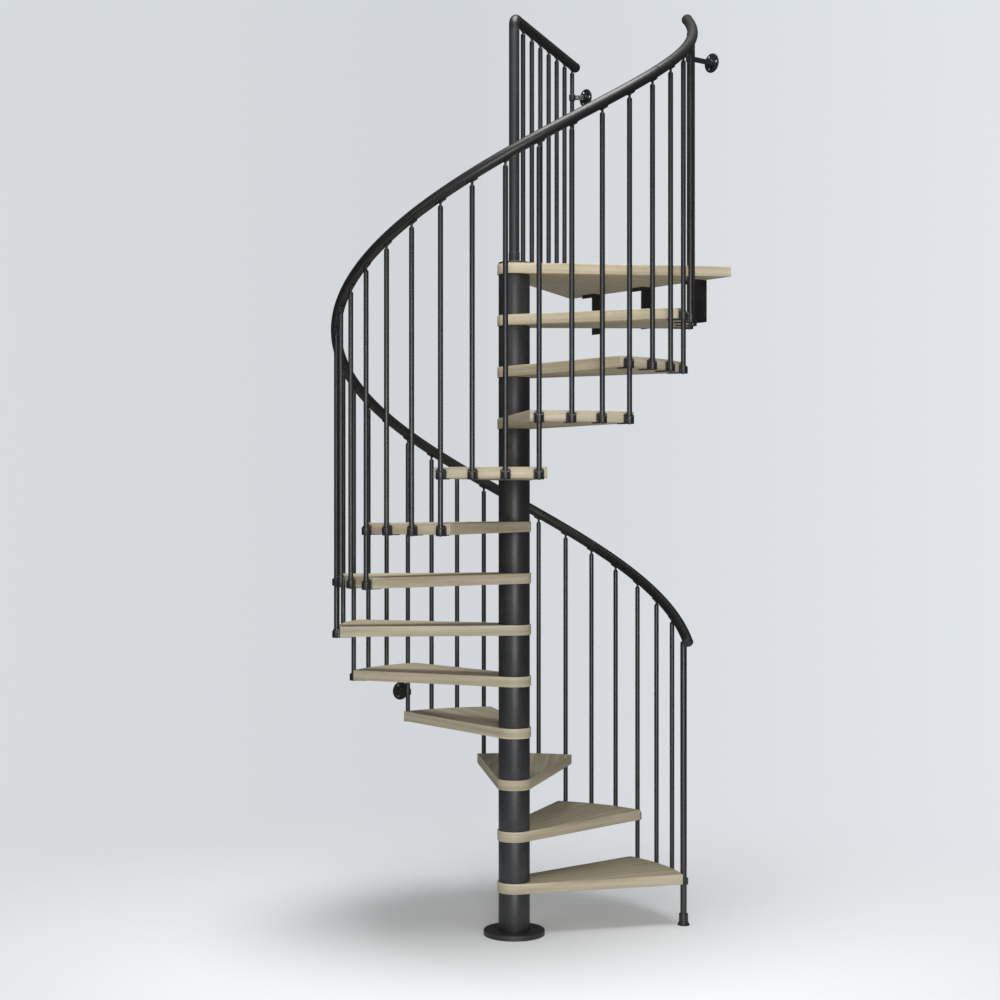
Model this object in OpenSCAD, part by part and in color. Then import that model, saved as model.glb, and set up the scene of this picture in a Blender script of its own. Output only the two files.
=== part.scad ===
// Spiral staircase with wooden treads round a steel column, a triangular
// landing, a helical handrail on balusters, and wall anchors.
// The origin is on the column's axis at floor level, +Z is up, and the stair
// climbs anticlockwise seen from above. Angles are turns about the column.

/* [Climb] */
// Height from one tread top to the next
rise = 225; // [185:1:275]
// Height of the first tread's top above the floor
first_rise = 233; // [190:1:285]
// Turn from one tread to the next, in degrees
step_turn = 29.4; // [27:0.1:32]
// Turn of the start post from +X, in degrees
start_turn = 12.2; // [0:0.1:40]
// Radius of the circle that the balusters stand on
ring_r = 777; // [640:1:940]

/* [Column] */
// Diameter of the round floor plate
base_d = 268; // [200:1:320]
// Thickness of the floor plate
base_t = 23; // [16:1:28]
// Outer diameter of the tubular spacers between the treads
spacer_d = 137; // [110:1:165]
// Wall thickness of the spacers
spacer_wall = 4; // [2:0.5:8]
// Diameter of the pole inside the spacers
pole_d = 38; // [30:1:40]
// How far each tread's collar stands out past the spacers
collar_lip = 5.5; // [2:0.5:12]
// Thickness of the cap plate on top of the column
cap_t = 9; // [6:1:14]

/* [Treads and landing] */
// Thickness of the treads and of the landing
tread_t = 45; // [36:1:54]
// Distance from a tread's curved edge out to the baluster circle
tread_setback = 13; // [12.5:0.5:16]
// Half the angle between a tread's two outer corners, in degrees
tread_half_angle = 17.3; // [16.5:0.1:18.5]
// Half the angle between the landing's two long edges, in degrees
landing_half_angle = 30.4; // [27:0.1:33]
// Turn from the last baluster on to the landing's middle, in degrees
landing_lead = 33; // [31:0.1:34]
// Distance from the baluster circle out to the landing's straight edge
landing_reach = 12; // [5:1:60]

/* [Balusters] */
// Diameter of a baluster
baluster_d = 21; // [16:0.5:25]
// Diameter of the start post
start_post_d = 29; // [26:0.5:34]
// Outer diameter of a tread bracket's ring
bracket_d = 37; // [34:0.5:42]
// Height of a tread bracket's ring at its front
ring_h = 27; // [20:1:34]
// Height of a tread bracket against the tread's edge
bracket_h = 42; // [36:1:48]
// How much wider than its ring a tread bracket is against the tread
pad_over = 5; // [2:0.5:8]
// Thickness of the bracket's plate under the tread
bracket_plate_t = 4; // [3:0.5:6]

/* [Handrail] */
// Height of the rail's centre line above the front of each tread
rail_h = 1080; // [900:5:1200]
// Diameter of the handrail
rail_d = 46; // [38:0.5:54]
// Height of the stem between a baluster's crown and its saddle
stem_h = 9.5; // [6:0.5:20]
// Thickness of the saddle plates under the handrail
saddle_t = 4; // [2:0.5:6]

/* [Landing guard] */
// Height of the guard rail's centre line above the landing
guard_h = 1080; // [900:5:1200]
// Turn from the landing's middle to the guard, in degrees
guard_swing = 32.7; // [28:0.1:33]
// Diameter of the guard's post on the column
guard_post_d = 46; // [44:0.5:54]
// Distance from the column's axis to the first guard baluster
guard_first = 122; // [110:1:130]

/* [Wall fixings] */
// Thickness of the folded wall brackets and of the anchor discs
plate_t = 5; // [4:0.5:8]
// Height of the wall brackets
wall_bracket_h = 188; // [150:1:220]
// Width of the wall brackets
wall_bracket_w = 80; // [60:1:100]
// Distance between two wall brackets
wall_bracket_gap = 350; // [280:5:400]
// Diameter of the anchor discs
anchor_d = 86; // [76:1:100]
// Pitch circle diameter of the three screw holes in an anchor disc
anchor_pcd = 58; // [50:1:64]
// Diameter of those screw holes
anchor_hole_d = 6.5; // [5:0.5:8]
// Height of the lower wall anchor above the tread below it
lower_anchor_h = 88; // [60:1:100]
// Distance from the landing top up to the two upper wall anchors
upper_anchor_h = 922; // [600:1:930]

/* [Hidden] */
$fn = 64;
treads = 12;
per_tread = 3;
flight_treads = 4;
guard_count = 7;

// Clearances
slide_gap = 0.3;
seat_gap = 0.2;

// Column and treads
collar_d = spacer_d + 2*collar_lip;
tread_r = ring_r - tread_setback;
collar_tuck = 1;
edge_run_out = 0.2;
top_z = first_rise + treads*rise;
landing_turn = start_turn + treads*step_turn + landing_lead;
landing_edge = ring_r + landing_reach;
wall_r = landing_edge + plate_t;
base_bevel = 3;

// Balusters and their brackets
drop_below = 5;
socket_floor = 4;
bracket_plate_w = 28;
bracket_plate_in = 45;
pad_t = 8;
pad_corner = 8;
start_bracket_d = bracket_d + 5;
foot_d = 41;
foot_h = 52;
foot_flare_d = 55;
foot_flare_h = 16;
foot_lip_h = 5;
stem_d = 10;
saddle_w = 18;
saddle_l = 33;
saddle_back = 6;

// Handrail: slope of the helix, its length for each degree, and its joints
rail_slope = atan(rise/(ring_r*step_turn*PI/180));
rail_per_turn = ring_r*PI/180/cos(rail_slope);
rail_start = start_turn - 5.3;
rail_end = start_turn + treads*step_turn + 3;
rail_joints = 4;
rail_first_joint = start_turn + 67.3;
rail_joint_turn = 79.4;
rail_joint_l = 4;
rail_joint_d = rail_d + 0.5;
rail_sides = 16;
rail_pitch = 3.7;
cap_edge = 4;
cap_dome = 7;
cap_lip = 1;

// Landing guard
guard_turn = landing_turn + guard_swing;
guard_z = top_z + guard_h;
guard_inset = 66.6;
guard_last = landing_edge/cos(guard_swing) - guard_inset;
guard_pitch = (guard_last - guard_first)/(guard_count - 1);
guard_bend = 30;
guard_elbow_leg = 13;
guard_wall_gap = 9.5;
guard_end = wall_r/cos(guard_swing) - guard_wall_gap - cap_edge - cap_dome;
guard_spigot = 150;
guard_collar_h = 45;
guard_collar_d = guard_post_d + 3;
guard_foot_d = 36;
guard_foot_t = 4;
guard_cup_d = 27;
guard_cup_h = 12;
cap_d = spacer_d + 1;

// Wall brackets and anchors
wall_leg = 62;
wall_lip = 18;
lower_wall_turn = 128;
lower_anchor_baluster = 12;
lower_anchor_reach = 64;
guard_anchor_side = -33;
clamp_d = 30;
clamp_h = 28;
arm_w = 9;
arm_h = 22;
boss_d = 30;
boss_h = 12;

// Places on the stair. Balusters count from 0, which is the start post.
function tread_name(k) = str("tread_", k < 10 ? "0" : "", k);
function tread_top(k) = first_rise + (k - 1)*rise;
function post_turn(i) = start_turn + i*step_turn/per_tread;
function rail_z(turn) = first_rise + rail_h + rise*(turn - start_turn)/step_turn;
function joint_turn(j) = rail_first_joint + (j - 1)*rail_joint_turn;
function guard_r(i) = guard_first + i*guard_pitch;
// Height of a baluster's crown below the centre line of a rail at a slope
function crown_drop(slope) = (rail_d/2 + seat_gap + saddle_t)/cos(slope) + stem_h;
function crown_z(i) = rail_z(post_turn(i)) - crown_drop(rail_slope);
// Height at which baluster i starts, inside a socket of the tread below it
function baluster_foot(i) =
    tread_top(ceil(i/per_tread)) - tread_t - drop_below + socket_floor + seat_gap;

module at_post(i) rotate([0, 0, post_turn(i)]) translate([ring_r, 0, 0]) children();

module on_rail(turn)
    rotate([0, 0, turn]) translate([ring_r, 0, rail_z(turn)])
        rotate([rail_slope, 0, 0]) children();

module on_guard(i)
    rotate([0, 0, guard_turn]) translate([guard_r(i), 0, 0]) children();

module in_wood() color("#b5ab90") children();
module in_steel() color("#303133") children();
module in_plastic() color("#27282a") children();

// Plan of a tread, short of its collar and running out past its curved edge.
// Its long edges run into the collar a little inside its rim.
module wedge_plan() {
    tangent = tread_half_angle + acos(collar_d/2/tread_r);
    corner = tread_r*[cos(tread_half_angle), sin(tread_half_angle)];
    touch = (collar_d/2 - collar_tuck)*[cos(tangent), sin(tangent)];
    far = corner + edge_run_out*(corner - touch);
    polygon([touch, far, [far[0], -far[1]], [touch[0], -touch[1]]]);
}

module pole_hole(height)
    translate([0, 0, -1]) cylinder(d = pole_d + 2*slide_gap, h = height + 2);

// Upright rod with a domed crown that ends in a small flat
module domed_rod(d, low, high) {
    height = high - low;
    dome = sqrt(d*d - stem_d*stem_d)/2;
    translate([0, 0, low]) rotate_extrude() intersection() {
        union() {
            square([d/2, height - dome]);
            translate([0, height - dome]) circle(d = d);
        }
        square([d/2, height]);
    }
}

// Plate under a rail, most of it uphill of the stem that stands on a crown. It
// is drawn about a point on the rail's centre line, for a rail that climbs
// along +Y.
module saddle(slope) {
    under = rail_d/2 + seat_gap + saddle_t;
    rotate([slope, 0, 0])
        translate([-saddle_w/2, -under*tan(slope) - saddle_back, -under])
            cube([saddle_w, saddle_l, saddle_t]);
    intersection() {
        translate([0, 0, -crown_drop(slope)])
            cylinder(d = stem_d, h = crown_drop(slope));
        rotate([slope, 0, 0])
            translate([-rail_d, -2*rail_d, -under - 2*rail_d])
                cube([2*rail_d, 4*rail_d, 2*rail_d + saddle_t/2]);
    }
}

// Closed rail end, from its flat back up along +Z
module end_cap() {
    edge_r = rail_d/2 + cap_lip;
    dome_r = (edge_r*edge_r + cap_dome*cap_dome)/2/cap_dome;
    rotate_extrude() intersection() {
        square([edge_r, cap_edge + cap_dome]);
        translate([0, cap_edge + cap_dome - dome_r]) circle(r = dome_r);
    }
}

// Column
module base_plate() in_steel() rotate_extrude()
    polygon([[0, 0], [base_d/2, 0], [base_d/2, base_t - base_bevel],
             [base_d/2 - base_bevel, base_t], [0, base_t]]);

module central_pole() in_steel()
    translate([0, 0, base_t])
        cylinder(d = pole_d, h = top_z + cap_t + guard_spigot - base_t);

module spacer(low, high)
    translate([0, 0, low]) difference() {
        cylinder(d = spacer_d, h = high - low);
        translate([0, 0, -1])
            cylinder(d = spacer_d - 2*spacer_wall, h = high - low + 2);
    }

module column_spacers() in_steel() {
    spacer(base_t, first_rise - tread_t);
    for (k = [1:treads]) spacer(tread_top(k), tread_top(k + 1) - tread_t);
}

// Treads and landing. The first tread is notched for the thick start post.
module tread(k) in_wood() difference() {
    rotate([0, 0, start_turn + (k - 0.5)*step_turn])
        translate([0, 0, tread_top(k) - tread_t]) difference() {
            union() {
                intersection() {
                    linear_extrude(tread_t) wedge_plan();
                    cylinder(r = tread_r, h = tread_t, $fn = 360);
                }
                cylinder(d = collar_d, h = tread_t);
            }
            pole_hole(tread_t);
        }
    if (k == 1) at_post(0)
        cylinder(d = start_post_d + 2*slide_gap, h = tread_top(k) + 1);
}

// The last baluster passes through the landing near its front edge
module landing() in_wood() difference() {
    translate([0, 0, top_z - tread_t]) rotate([0, 0, landing_turn]) {
        linear_extrude(tread_t) landing_plan();
        rotate([0, 0, 180]) cylinder(d = collar_d, h = tread_t);
    }
    translate([0, 0, top_z - tread_t]) pole_hole(tread_t);
    at_post(treads*per_tread) translate([0, 0, top_z - tread_t - 1])
        cylinder(d = baluster_d + 2*slide_gap, h = tread_t + 2);
}

// The landing's long edges run into the collar, and its outer edge is straight
module landing_plan() {
    side = (collar_d/2 - collar_tuck)*[-sin(landing_half_angle), cos(landing_half_angle)];
    corner_y = (landing_edge - side[0])*tan(landing_half_angle) + side[1];
    polygon([side, [landing_edge, corner_y], [landing_edge, -corner_y],
             [side[0], -side[1]]]);
}

module column_cap() in_steel()
    translate([0, 0, top_z]) difference() {
        linear_extrude(cap_t) {
            circle(d = cap_d);
            rotate([0, 0, guard_turn]) {
                translate([0, -guard_foot_d/2]) square([guard_first, guard_foot_d]);
                translate([guard_first, 0]) circle(d = guard_foot_d);
            }
        }
        pole_hole(cap_t);
    }

// Landing guard
module landing_post() in_steel() {
    low = top_z + cap_t;
    high = guard_z - guard_bend - guard_elbow_leg;
    translate([0, 0, low]) difference() {
        union() {
            cylinder(d = guard_post_d, h = high - low);
            cylinder(d = guard_collar_d, h = guard_collar_h);
        }
        translate([0, 0, -1])
            cylinder(d = pole_d + 2*slide_gap, h = guard_spigot + 2);
    }
}

module landing_elbow() in_plastic()
    rotate([0, 0, guard_turn]) {
        translate([0, 0, guard_z - guard_bend - guard_elbow_leg])
            cylinder(d = guard_post_d, h = guard_elbow_leg);
        translate([guard_bend, 0, guard_z - guard_bend])
            rotate([90, 0, 0]) rotate([0, 0, 90]) rotate_extrude(angle = 90)
                translate([guard_bend, 0]) circle(d = guard_post_d);
    }

module landing_rail() in_plastic()
    rotate([0, 0, guard_turn]) translate([guard_bend, 0, guard_z])
        rotate([0, 90, 0]) cylinder(d = rail_d, h = guard_end - guard_bend);

module landing_rail_cap() in_plastic()
    rotate([0, 0, guard_turn]) translate([guard_end, 0, guard_z])
        rotate([0, 90, 0]) end_cap();

module landing_balusters() in_steel()
    for (i = [0:guard_count - 1]) on_guard(i)
        domed_rod(baluster_d, guard_foot_z(i) + guard_foot_t + seat_gap,
                  guard_z - crown_drop(0));

function guard_foot_z(i) = i == 0 ? top_z + cap_t : top_z;

module landing_baluster_feet() in_plastic()
    for (i = [0:guard_count - 1]) on_guard(i)
        translate([0, 0, guard_foot_z(i)]) difference() {
            union() {
                cylinder(d = guard_foot_d, h = guard_foot_t);
                cylinder(d = guard_cup_d, h = guard_cup_h);
            }
            translate([0, 0, guard_foot_t])
                cylinder(d = baluster_d + 2*slide_gap, h = guard_cup_h);
        }

module landing_rail_saddles() in_plastic()
    for (i = [0:guard_count - 1]) on_guard(i)
        translate([0, 0, guard_z]) rotate([0, 0, -90]) saddle(0);

// Folded brackets between the landing's outer edge and the wall
module landing_wall_brackets() in_steel()
    rotate([0, 0, landing_turn]) for (s = [-1:1])
        translate([0, s*wall_bracket_gap - wall_bracket_w/2, top_z - tread_t])
            rotate([-90, 0, 0]) linear_extrude(wall_bracket_w) polygon([
                [wall_r, 0], [wall_r, wall_bracket_h],
                [landing_edge, wall_bracket_h], [landing_edge, plate_t],
                [landing_edge - wall_leg + plate_t, plate_t],
                [landing_edge - wall_leg + plate_t, wall_lip],
                [landing_edge - wall_leg, wall_lip],
                [landing_edge - wall_leg, 0]]);

// Start post
module start_post() in_steel() at_post(0)
    domed_rod(start_post_d, foot_lip_h + seat_gap, crown_z(0));

module start_post_foot() in_plastic() at_post(0) difference() {
    rotate_extrude() polygon([
        [0, 0], [foot_flare_d/2, 0], [foot_flare_d/2, foot_lip_h],
        [foot_d/2, foot_flare_h], [foot_d/2, foot_h], [0, foot_h]]);
    translate([0, 0, foot_lip_h])
        cylinder(d = start_post_d + 2*slide_gap, h = foot_h);
}

// Handrail: a round tube swept along the helix as flat faces whose middles
// lie on the tube's true surface
function rail_point(turn, around) =
    let (r = rail_d/2/cos(180/rail_sides),
         out = ring_r + r*cos(around),
         up = r*sin(around))
    [out*cos(turn) + up*sin(rail_slope)*sin(turn),
     out*sin(turn) - up*sin(rail_slope)*cos(turn),
     rail_z(turn) + up*cos(rail_slope)];

module rail_run(from, to) {
    steps = ceil((to - from)/rail_pitch);
    last = rail_sides - 1;
    points = [for (i = [0:steps]) for (j = [0:last])
        rail_point(from + (to - from)*i/steps, (j + 0.5)*360/rail_sides)];
    sides = [for (i = [0:steps - 1]) for (j = [0:last])
        let (a = i*rail_sides, next = (j + 1) % rail_sides)
        each [[a + j, a + next, a + rail_sides + next],
              [a + j, a + rail_sides + next, a + rail_sides + j]]];
    ends = [[for (j = [0:last]) last - j],
            [for (j = [0:last]) steps*rail_sides + j]];
    polyhedron(points, concat(sides, ends));
}

module handrail(s) {
    half_joint = (rail_joint_l/2 + seat_gap)/rail_per_turn;
    from = s == 1 ? rail_start : joint_turn(s - 1) + half_joint;
    to = s == rail_joints + 1 ? rail_end : joint_turn(s) - half_joint;
    in_plastic() rail_run(from, to);
}

module handrail_joints() in_plastic()
    for (j = [1:rail_joints]) on_rail(joint_turn(j))
        rotate([90, 0, 0]) cylinder(d = rail_joint_d, h = rail_joint_l, center = true);

module handrail_end_caps() in_plastic() {
    on_rail(rail_start) rotate([90, 0, 0]) end_cap();
    on_rail(rail_end) rotate([-90, 0, 0]) end_cap();
}

// Balusters, their brackets on the treads, and the saddles under the rail
module baluster_flight(flight) in_steel() {
    first = (flight - 1)*flight_treads*per_tread + 1;
    for (i = [first:first + flight_treads*per_tread - 1]) at_post(i)
        domed_rod(baluster_d, baluster_foot(i), crown_z(i));
}

// The pad against a tread's edge, with rounded upper corners, for a ring
module bracket_pad(ring_d) {
    half = (ring_d + pad_over)/2;
    translate([tread_r, 0, 0]) rotate([90, 0, 90]) linear_extrude(pad_t) {
        translate([-half, 0]) square([2*half, bracket_h - pad_corner]);
        translate([pad_corner - half, 0]) square([2*(half - pad_corner), bracket_h]);
        for (side = [-1, 1])
            translate([side*(half - pad_corner), bracket_h - pad_corner])
                circle(r = pad_corner);
    }
}

// A ring and its pad. The top slopes down from the pad to the ring's front.
module bracket(k, i) {
    under = tread_top(k) - tread_t;
    is_start = i == 0;
    is_shared = i == (k - 1)*per_tread;
    ring_d = is_start ? start_bracket_d : bracket_d;
    rod_d = is_start ? start_post_d : baluster_d;
    floor_z = is_shared ? -1 : socket_floor;
    front = ring_r + ring_d/2;
    slant = atan2(bracket_h - ring_h, front - tread_r - pad_t);
    rotate([0, 0, post_turn(i)]) difference() {
        union() {
            translate([0, 0, under - drop_below]) {
                translate([ring_r, 0, 0]) cylinder(d = ring_d, h = bracket_h);
                bracket_pad(ring_d);
            }
            translate([tread_r - bracket_plate_in, 0, under - bracket_plate_t])
                linear_extrude(bracket_plate_t) {
                    translate([0, -bracket_plate_w/2])
                        square([ring_r - tread_r + bracket_plate_in, bracket_plate_w]);
                    circle(d = bracket_plate_w);
                }
        }
        translate([front, 0, under - drop_below + ring_h]) rotate([0, slant, 0])
            translate([-2*bracket_h, -ring_d, 0])
                cube([4*bracket_h, 2*ring_d, 2*bracket_h]);
        translate([ring_r, 0, under - drop_below + floor_z])
            cylinder(d = rod_d + 2*slide_gap, h = 2*bracket_h);
        translate([0, 0, under])
            cylinder(r = tread_r + seat_gap, h = tread_t, $fn = 360);
    }
}

module bracket_flight(flight) in_plastic()
    for (k = [(flight - 1)*flight_treads + 1:flight*flight_treads])
        for (i = [(k - 1)*per_tread:k*per_tread]) bracket(k, i);

module saddle_flight(flight) in_plastic() {
    first = flight == 1 ? 0 : (flight - 1)*flight_treads*per_tread + 1;
    for (i = [first:flight*flight_treads*per_tread]) at_post(i)
        translate([0, 0, rail_z(post_turn(i))]) saddle(rail_slope);
}

// Wall anchor: a clamp round a baluster at the origin, an arm, and a round
// wall plate whose middle is at [reach, side], facing along +X
module wall_anchor(reach, side) in_steel() {
    arm_turn = atan2(side, reach - plate_t - boss_h);
    arm_l = norm([reach - plate_t - boss_h, side]);
    difference() {
        union() {
            translate([0, 0, -clamp_h/2]) cylinder(d = clamp_d, h = clamp_h);
            rotate([0, 0, arm_turn]) translate([0, -arm_w/2, -arm_h/2])
                cube([arm_l, arm_w, arm_h]);
            translate([reach - plate_t, side, 0]) rotate([0, 90, 0])
                cylinder(d = anchor_d, h = plate_t);
            translate([reach - plate_t - boss_h, side, 0]) rotate([0, 90, 0])
                cylinder(d = boss_d, h = boss_h);
        }
        translate([0, 0, -clamp_h]) cylinder(d = baluster_d + 2*seat_gap, h = 2*clamp_h);
        for (a = [0:2]) translate([reach, side, 0]) rotate([120*a, 0, 0])
            translate([-plate_t - 1, -anchor_pcd/2, 0]) rotate([0, 90, 0])
                cylinder(d = anchor_hole_d, h = plate_t + 2);
    }
}

module wall_anchor_lower()
    at_post(lower_anchor_baluster)
        translate([0, 0, tread_top(lower_anchor_baluster/per_tread) + lower_anchor_h])
        rotate([0, 0, lower_wall_turn - post_turn(lower_anchor_baluster)])
            wall_anchor(lower_anchor_reach, 0);

module wall_anchor_upper() {
    last = treads*per_tread;
    lead = landing_turn - post_turn(last);
    at_post(last) translate([0, 0, top_z + upper_anchor_h])
        rotate([0, 0, lead]) wall_anchor(wall_r - ring_r*cos(lead), 0);
}

module wall_anchor_guard()
    on_guard(guard_count - 1) translate([0, 0, top_z + upper_anchor_h])
        rotate([0, 0, -guard_swing])
            wall_anchor(wall_r - guard_last*cos(guard_swing), guard_anchor_side);

base_plate();
central_pole();
column_spacers();
for (k = [1:treads]) tread(k);
landing();
column_cap();
landing_post();
landing_elbow();
landing_rail();
landing_rail_cap();
landing_balusters();
landing_baluster_feet();
landing_rail_saddles();
landing_wall_brackets();
start_post();
start_post_foot();
for (s = [1:rail_joints + 1])
    handrail(s);
handrail_joints();
handrail_end_caps();
baluster_flight(1);  // balusters_lower
baluster_flight(2);  // balusters_middle
baluster_flight(3);  // balusters_upper
bracket_flight(1);  // tread_brackets_lower
bracket_flight(2);  // tread_brackets_middle
bracket_flight(3);  // tread_brackets_upper
saddle_flight(1);  // rail_saddles_lower
saddle_flight(2);  // rail_saddles_middle
saddle_flight(3);  // rail_saddles_upper
wall_anchor_lower();
wall_anchor_upper();
wall_anchor_guard();
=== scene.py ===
# %% [markdown]
# # Finishing a spiral staircase in Blender
# A kit staircase climbs one full turn round a steel column. Bleached oak treads are clamped
# between short column tubes, black balusters stand in moulded rings at the rim, and a round
# handrail follows the same helix. The CAD frame fixes every size. These cells give each part
# its true roundness, its small fittings and its finish.

import math

import bmesh
import bpy
from mathutils import Matrix, Vector
from mathutils.geometry import tessellate_polygon


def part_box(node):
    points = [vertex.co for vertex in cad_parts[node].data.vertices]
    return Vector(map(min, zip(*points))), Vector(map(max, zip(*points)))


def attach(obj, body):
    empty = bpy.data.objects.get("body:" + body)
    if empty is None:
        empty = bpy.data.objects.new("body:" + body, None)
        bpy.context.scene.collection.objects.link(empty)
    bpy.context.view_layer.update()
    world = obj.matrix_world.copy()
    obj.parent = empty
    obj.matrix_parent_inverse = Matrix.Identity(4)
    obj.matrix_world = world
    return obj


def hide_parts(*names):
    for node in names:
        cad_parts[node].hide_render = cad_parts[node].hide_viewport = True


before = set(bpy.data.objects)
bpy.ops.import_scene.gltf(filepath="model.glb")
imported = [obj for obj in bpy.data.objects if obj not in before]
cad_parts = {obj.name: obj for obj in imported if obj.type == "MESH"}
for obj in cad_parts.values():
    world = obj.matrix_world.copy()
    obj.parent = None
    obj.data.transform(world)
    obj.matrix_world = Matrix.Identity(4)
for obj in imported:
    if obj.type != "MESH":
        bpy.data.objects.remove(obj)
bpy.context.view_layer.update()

# %% [markdown]
# ## The rule of the stair
# A spiral stair is one rule: each tread turns by the same angle and rises by the same height.
# Heights are read from the frame. Lengths are in metres and turns in degrees, and every
# later cell places its pieces from these few values.

# %% The rule of the stair
RING_R = 0.777          # radius of the circle on which the balusters stand
START_TURN = 12.2       # direction of the start post
STEP_TURN = 29.4        # turn from one tread to the next
TREADS = 12
PER_TREAD = 3           # balusters to a tread
FLIGHTS = {"lower": 0, "middle": 4, "upper": 8}
FLIGHT_TREADS = 4
TREAD_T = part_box("tread_01")[1].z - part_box("tread_01")[0].z
FIRST_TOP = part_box("tread_01")[1].z
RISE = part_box("tread_02")[1].z - FIRST_TOP
TOP_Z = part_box("landing")[1].z
RAIL_H = 1.080          # from the nosing line up to the rail's centre line
RAIL_R = 0.023
LANDING_TURN = START_TURN + TREADS*STEP_TURN + 33
POST_STEP = STEP_TURN/PER_TREAD
POST_RISE = RISE/PER_TREAD
SLOPE = math.atan(RISE/(RING_R*math.radians(STEP_TURN)))


def post_turn(post):
    """Direction of a baluster, counted from the start post, in degrees."""
    return START_TURN + post*POST_STEP


def tread_top(tread):
    return FIRST_TOP + (tread - 1)*RISE


def rail_z(turn):
    """Height of the rail's centre line in a direction."""
    return FIRST_TOP + RAIL_H + RISE*(turn - START_TURN)/STEP_TURN


print("rise", round(RISE, 4), "tread", round(TREAD_T, 4), "top", round(TOP_Z, 3),
      "rail slope", round(math.degrees(SLOPE), 2))

# %% [markdown]
# ## Helpers for nodes and colours
# Both materials and Geometry Nodes are trees of nodes, so one small function serves both: it
# adds a node, makes its settings, and fills or links its inputs. Colours are written as the
# sRGB hex values seen on a colour card, and shaders count in linear light.

# %% Helpers for nodes and colours
def add(tree, kind, inputs=None, **settings):
    """Adds a node, makes its settings, and fills or links its inputs by name or number."""
    made = tree.nodes.new(kind)
    made.location = (190*(len(tree.nodes) % 8), -260*(len(tree.nodes)//8))
    for key, value in settings.items():
        setattr(made, key, value)
    for key, value in (inputs or {}).items():
        if isinstance(key, str):
            socket = next(s for s in made.inputs if s.enabled and s.name == key)
        else:
            socket = made.inputs[key]
        if isinstance(value, bpy.types.NodeSocket):
            tree.links.new(value, socket)
        else:
            socket.default_value = value
    return made


def linear(hex_colour):
    """An sRGB hex value as the linear colour that shaders use."""
    shares = [int(hex_colour[i:i + 2], 16)/255 for i in (1, 3, 5)]
    return (*[c/12.92 if c <= 0.04045 else ((c + 0.055)/1.055)**2.4 for c in shares], 1)


print("mid grey in linear light:", [round(c, 3) for c in linear("#808080")[:3]])

# %% [markdown]
# ## Camera, floor and light
# The camera stands level, a little under eye height and well back, so uprights stay upright.
# The stair stands before a pale backdrop, lit softly from the front and from overhead: fronts
# are lighter than tops, undersides are dark, and round black parts get one long highlight in
# the middle and dark edges. The backdrop shows bright to the camera and lights the stair less.
# The floor fades out into the same pale tone, so no horizon line crosses the stair.

# %% Camera, floor and light
ROOM_GLOW = 0.40        # how strongly the backdrop lights matt surfaces
ROOM_GLOSS = 0.10       # how strongly it shows in glossy ones
FLOOR_GLOW = 0.12       # what keeps the floor as pale as the backdrop
SOFT_LIGHTS = (
    ("key_front", (0.5, -7.9, 2.0), (1.8, 3.6), 280),
    ("fill_left", (-4.6, -5.2, 2.8), (1.2, 3.6), 40),
    ("overhead", (0.3, -1.2, 7.0), (3.4, 3.4), 400),
)
scene = bpy.context.scene
scene.view_settings.view_transform = "Standard"
camera = bpy.data.objects.new("camera", bpy.data.cameras.new("camera"))
scene.collection.objects.link(camera)
camera.location = (-0.0622, -7.639, 1.902)
camera.rotation_euler = (math.radians(90), 0, 0)
camera.data.sensor_width = 36
camera.data.lens = 62.75
camera.data.clip_end = 200
scene.camera = camera

world = bpy.data.worlds.new("pale_room")
world.use_nodes = True
scene.world = world
room = world.node_tree
room.nodes.clear()
# The backdrop's tone across the view is painted shading: darker at the left and in the middle, lighter
# at the right.
looking = add(room, "ShaderNodeTexCoord")
across = add(room, "ShaderNodeSeparateXYZ", {0: looking.outputs["Generated"]})
wall_share = add(room, "ShaderNodeMapRange", {"Value": across.outputs["X"],
                 "From Min": -0.28, "From Max": 0.28})
backdrop_shading = add(room, "ShaderNodeValToRGB", {"Fac": wall_share.outputs["Result"]})
backdrop_shading.color_ramp.elements.new(0.45)
for stop, tone in zip(backdrop_shading.color_ramp.elements, ("#D8DCDF", "#D2D6DA", "#E3E7EB")):
    stop.color = linear(tone)
# The backdrop is bright, but it lights the stair much less than it shows
ray = add(room, "ShaderNodeLightPath")
room_share = add(room, "ShaderNodeMath", {0: ray.outputs["Is Glossy Ray"],
                 1: ROOM_GLOSS - ROOM_GLOW, 2: ROOM_GLOW}, operation="MULTIPLY_ADD")
seen_or_lit = add(room, "ShaderNodeMix", {"Factor": ray.outputs["Is Camera Ray"],
                  "A": room_share.outputs[0], "B": 1.0}, data_type="FLOAT")
backdrop = add(room, "ShaderNodeBackground", {"Color": backdrop_shading.outputs["Color"],
               "Strength": seen_or_lit.outputs[0]})
add(room, "ShaderNodeOutputWorld", {"Surface": backdrop.outputs[0]})

for light_name, place, (wide, tall), power in SOFT_LIGHTS:
    lamp = bpy.data.lights.new(light_name, "AREA")
    lamp.shape = "RECTANGLE"
    lamp.size = wide
    lamp.size_y = tall
    lamp.energy = power
    holder = bpy.data.objects.new(light_name, lamp)
    scene.collection.objects.link(holder)
    holder.location = place
    aim = Vector((0, 0, 1.9)) - holder.location
    holder.rotation_euler = aim.to_track_quat("-Z", "Y").to_euler()

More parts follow.
